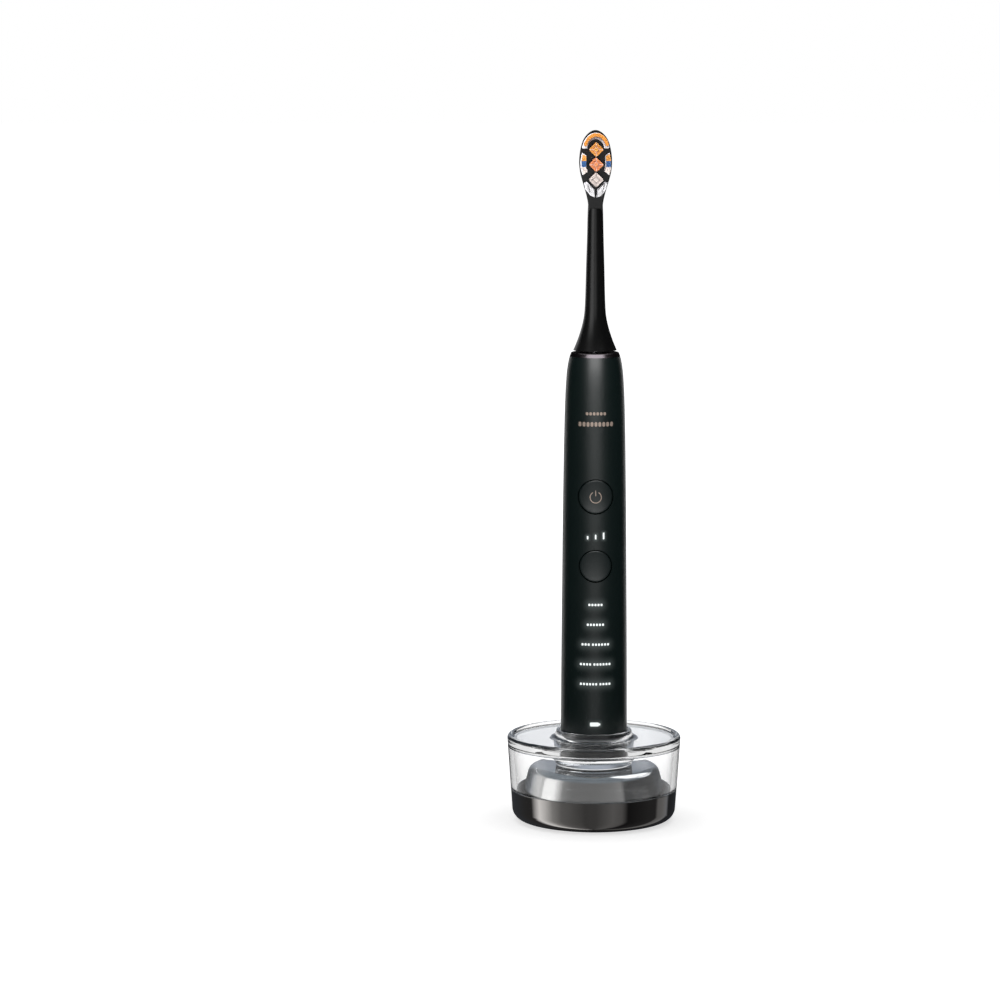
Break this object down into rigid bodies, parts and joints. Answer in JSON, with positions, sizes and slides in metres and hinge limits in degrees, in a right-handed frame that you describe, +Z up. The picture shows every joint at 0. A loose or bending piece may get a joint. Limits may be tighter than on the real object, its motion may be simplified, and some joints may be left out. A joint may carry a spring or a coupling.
{
  "type": "electric toothbrush on charger",
  "caption": "Sonic electric toothbrush with oval bristle head, slim round handle and push buttons, standing in a clear charging cup on a domed round base.",
  "frame": {"origin": "centre of the charger's foot ring, on the surface it stands on", "axes": "+Z up the handle, -Y towards the user (buttons and bristles), +X to the user's right"},
  "size_m": [0.0716, 0.0716, 0.2847],
  "materials": {
    "gunmetal_chrome": "polished dark chrome",
    "dome_chrome": "polished dark chrome, slightly cooler",
    "plate_plastic": "fine matt black plastic",
    "foot_rubber": "matt rubber",
    "screw_steel": "zinc plated steel",
    "board_green": "solder-masked circuit board",
    "component_black": "moulded chips and capacitors",
    "bobbin_white": "natural nylon",
    "copper_winding": "enamelled copper winding",
    "ferrite": "sintered ferrite",
    "clear_glass": "thick clear polished",
    "shell_black": "satin green-black lacquer",
    "trim_chrome": "polished dark chrome, warm",
    "button_black": "satin black, shallow dish",
    "seal_rubber": "soft black rubber",
    "chassis_grey": "glass-filled nylon",
    "switch_steel": "steel-topped switch",
    "led_white": "white light emitting diode",
    "guide_clear": "clear light guide",
    "battery_wrap": "shrink-wrapped cell",
    "contact_nickel": "nickel strip",
    "motor_steel": "drawn steel",
    "lamination": "laminated steel",
    "bronze": "sintered bronze",
    "spring_steel": "spring steel",
    "shaft_steel": "ground stainless steel",
    "magnet": "nickel-plated magnet",
    "neck_black": "satin black",
    "plug_white": "natural acetal",
    "chip_tag": "tag foil",
    "carrier_white": "white, faint lilac",
    "bristle_orange": "orange nylon filament",
    "bristle_peach": "peach nylon filament",
    "bristle_cream": "cream nylon filament",
    "bristle_mixed": "orange, blue and cream nylon filament",
    "bristle_white": "white nylon filament"
  },
  "bodies": {
    "charger_base": {"base_band": "gunmetal_chrome", "dome_cover": "dome_chrome", "bottom_plate": "plate_plastic", "foot_ring": "foot_rubber", "base_screws": "screw_steel", "charger_board": "board_green", "charger_components": "component_black", "coil_bobbin": "bobbin_white", "charging_coil": "copper_winding", "charging_ferrite": "ferrite", "cable_inlet": "seal_rubber"},
    "clear_cover": {"clear_cover": "clear_glass"},
    "handle": {"handle_shell": "shell_black", "neck_ring": "trim_chrome", "shaft_seal": "seal_rubber", "handle_end_cap": "plate_plastic", "end_cap_o_ring": "seal_rubber", "receiver_coil": "copper_winding", "receiver_ferrite": "ferrite", "inner_chassis": "chassis_grey", "control_board": "board_green", "tact_switches": "switch_steel", "indicator_leds": "led_white", "light_guide": "guide_clear", "button_seals": "seal_rubber", "battery_cell": "battery_wrap", "battery_contacts": "contact_nickel", "motor_frame": "motor_steel", "motor_stator": "lamination", "stator_coils": "copper_winding", "front_bearing": "bronze", "rear_bearing": "bronze", "motor_dampers": "seal_rubber", "centering_spring": "spring_steel"},
    "drive_shaft": {"drive_shaft": "shaft_steel", "motor_rotor": "motor_steel", "rotor_magnets": "magnet"},
    "power_button": {"power_button": "button_black", "power_plunger": "seal_rubber"},
    "mode_button": {"mode_button": "button_black", "mode_plunger": "seal_rubber"},
    "brush_head": {"brush_neck": "neck_black", "neck_plug": "plug_white", "chip_ring": "chip_tag", "shaft_clip": "spring_steel", "bristle_carriers": "carrier_white", "bristles_arc": "bristle_orange", "bristles_centre_upper": "bristle_orange", "bristles_centre_middle": "bristle_peach", "bristles_centre_lower": "bristle_cream", "bristles_side": "bristle_mixed", "bristles_heel": "bristle_white"}
  },
  "joints": [
    {"name": "cover_lift", "type": "slide", "parent": "charger_base", "child": "clear_cover", "axis": [0, 0, 1], "range_m": [0, 0.03]},
    {"name": "handle_lift", "type": "slide", "parent": "clear_cover", "child": "handle", "axis": [0, 0, 1], "range_m": [0, 0.04]},
    {"name": "power_press", "type": "slide", "parent": "handle", "child": "power_button", "axis": [0, 1, 0], "range_m": [0, 0.0004], "stiffness_N_per_m": 300, "springref_m": -0.003},
    {"name": "mode_press", "type": "slide", "parent": "handle", "child": "mode_button", "axis": [0, 1, 0], "range_m": [0, 0.0004], "stiffness_N_per_m": 300, "springref_m": -0.003},
    {"name": "shaft_swing", "type": "hinge", "parent": "handle", "child": "drive_shaft", "pos_m": [0, 0, 0.2], "axis": [0, 0, 1], "range_deg": [-5.5, 5.5], "stiffness_Nm_per_rad": 0.01},
    {"name": "head_pull_off", "type": "slide", "parent": "drive_shaft", "child": "brush_head", "axis": [0, 0, 1], "range_m": [0, 0.022]}
  ]
}
